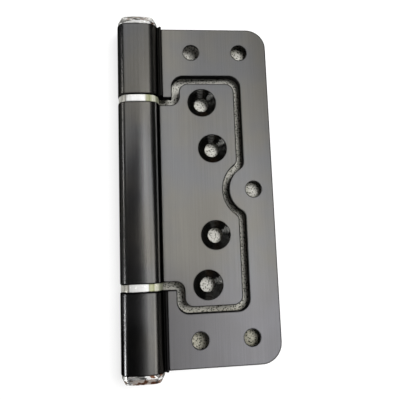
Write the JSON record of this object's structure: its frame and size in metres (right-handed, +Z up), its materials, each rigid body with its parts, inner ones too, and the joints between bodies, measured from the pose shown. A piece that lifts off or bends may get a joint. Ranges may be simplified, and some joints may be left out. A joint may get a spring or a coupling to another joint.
{
  "type": "non-mortise hinge",
  "caption": "Non-mortise hinge, closed: an inner leaf folded inside a C-shaped outer leaf, on a capped pin with bright rings between square knuckles.",
  "frame": {"origin": "centre of the four corner screw holes of the outer leaf, on the outer leaf's front face, which lies against the frame that the leaf is screwed to", "axes": "+Z up along the hinge pin; +X from the pin towards the free edge of the leaves; -Y out of the outer leaf's front face, the face seen when the hinge is closed"},
  "size_m": [0.0575, 0.0136, 0.1332],
  "materials": {
    "leaf_black": "satin black anodised extrusion",
    "bright_chrome": "polished",
    "pin_steel": "ground",
    "bush_plastic": "moulded acetal"
  },
  "bodies": {
    "outer": {"outer_leaf": "leaf_black", "hinge_pin": "pin_steel", "upper_outer_sleeve": "bush_plastic", "lower_outer_sleeve": "bush_plastic", "top_cap": "bright_chrome", "bottom_cap": "bright_chrome"},
    "inner": {"inner_leaf": "leaf_black", "upper_inner_bush": "bush_plastic", "lower_inner_bush": "bush_plastic", "upper_ring": "bright_chrome", "lower_ring": "bright_chrome"}
  },
  "joints": [
    {"name": "leaf_swing", "type": "hinge", "parent": "outer", "child": "inner", "pos_m": [-0.02967, 0.0016, 0], "axis": [0, 0, 1], "range_deg": [0, 180]}
  ]
}
